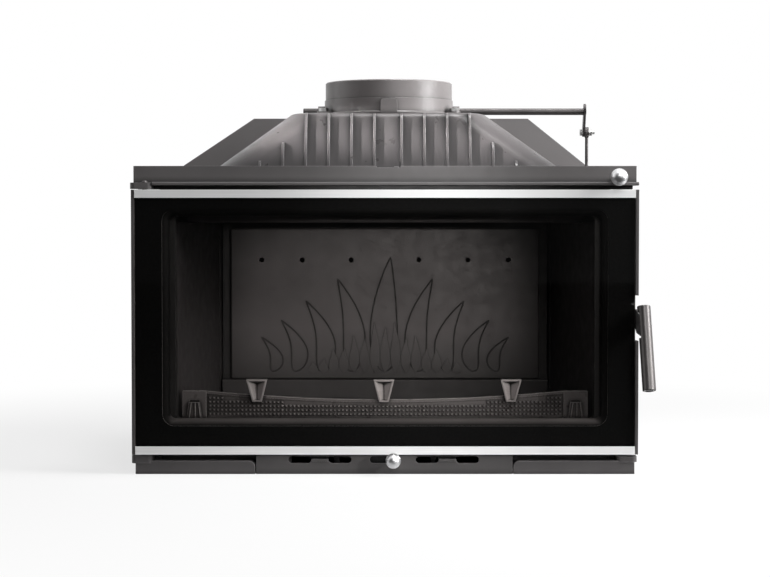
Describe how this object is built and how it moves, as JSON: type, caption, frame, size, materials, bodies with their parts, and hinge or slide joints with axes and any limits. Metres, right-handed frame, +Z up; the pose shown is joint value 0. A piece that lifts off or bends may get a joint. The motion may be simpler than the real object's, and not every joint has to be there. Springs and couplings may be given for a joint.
{
  "type": "fireplace insert",
  "caption": "Cast-iron fireplace insert: a glazed side-hinged door with a bar handle, a ribbed hood with a flue collar and rod-worked damper, and a sliding air control.",
  "frame": {"origin": "underside of the base, midway across the base and midway between the glass face and the back of the heat shield", "axes": "+Z up, -Y out of the door, +X to the right seen from the front"},
  "size_m": [0.7686, 0.5014, 0.593],
  "materials": {
    "cast": "cast iron, matt heat-proof paint",
    "hood": "cast iron, matt heat-proof paint, fine grain",
    "lining": "cast iron, unpainted dark",
    "guard": "cast iron, dark",
    "sheet": "sheet steel, matt paint",
    "steel": "zinc-plated steel",
    "dark_steel": "dark drawn steel",
    "trim": "satin stainless steel",
    "chrome": "bright chrome",
    "glass": "ceramic glass with a black printed border",
    "rope": "glass-fibre rope",
    "grip": "satin grey paint"
  },
  "bodies": {
    "carcass": {"base_casting": "cast", "front_frame": "cast", "side_wall_left": "cast", "side_wall_right": "cast", "back_wall": "cast", "top_plate": "cast", "rear_heat_shield": "sheet", "shield_spacers": "steel", "latch_keeper": "cast", "side_lining_left": "lining", "side_lining_right": "lining", "back_lining": "lining", "lining_ledge": "lining", "rear_air_box": "lining", "hearth_plate": "lining", "ash_pan": "sheet", "lower_baffle": "lining", "upper_baffle": "sheet", "hood": "hood", "flue_collar": "hood", "collar_bolts": "steel", "air_cover": "cast", "slider_guides": "sheet", "cover_screws": "steel", "hinge_pin_top": "steel", "hinge_pin_bottom": "steel", "frame_screws": "steel", "back_bolts": "steel", "roof_screws": "steel"},
    "door": {"door_frame": "cast", "door_glass": "glass", "trim_top": "trim", "trim_bottom": "trim", "trim_screws": "steel", "glass_gasket": "rope", "door_seal": "rope", "handle_pivot_bolt": "steel"},
    "handle": {"handle_grip": "grip", "handle_arm": "cast", "grip_pin": "steel", "latch_pin": "steel"},
    "damper": {"damper_disc": "cast", "damper_shaft": "dark_steel", "disc_screws": "steel", "damper_crank": "dark_steel", "crank_bolt": "steel", "crank_nut": "steel"},
    "damper_rod": {"pull_rod": "dark_steel", "damper_knob": "chrome"},
    "air_control": {"air_slider": "sheet", "slider_stem": "steel", "air_knob": "chrome"},
    "guard": {"log_guard": "guard", "guard_horns": "guard"},
    "fire_grate": {"grate": "lining"}
  },
  "joints": [
    {"name": "door_swing", "type": "hinge", "parent": "carcass", "child": "door", "pos_m": [-0.356, -0.1965, 0.225], "axis": [0, 0, -1], "range_deg": [0, 110]},
    {"name": "handle_lift", "type": "hinge", "parent": "door", "child": "handle", "pos_m": [0.3749, -0.19625, 0.231], "axis": [-1, 0, 0], "range_deg": [0, 35]},
    {"name": "damper_turn", "type": "hinge", "parent": "carcass", "child": "damper", "pos_m": [0.006, 0.01, 0.5484], "axis": [-1, 0, 0], "range_deg": [0, 70]},
    {"name": "rod_pivot", "type": "hinge", "parent": "damper", "child": "damper_rod", "pos_m": [0.3216, 0.02496, 0.51632], "axis": [-1, 0, 0], "range_deg": [-70, 0]},
    {"name": "air_slide", "type": "slide", "parent": "carcass", "child": "air_control", "axis": [1, 0, 0], "range_m": [-0.03, 0]},
    {"name": "guard_lift", "type": "slide", "parent": "carcass", "child": "guard", "axis": [0, 0, 1], "range_m": [0, 0.05]},
    {"name": "grate_lift", "type": "slide", "parent": "carcass", "child": "fire_grate", "axis": [0, 0, 1], "range_m": [0, 0.05]}
  ],
  "couplings": [
    {"joint": "rod_pivot", "follows": "damper_turn", "ratio": -1}
  ]
}
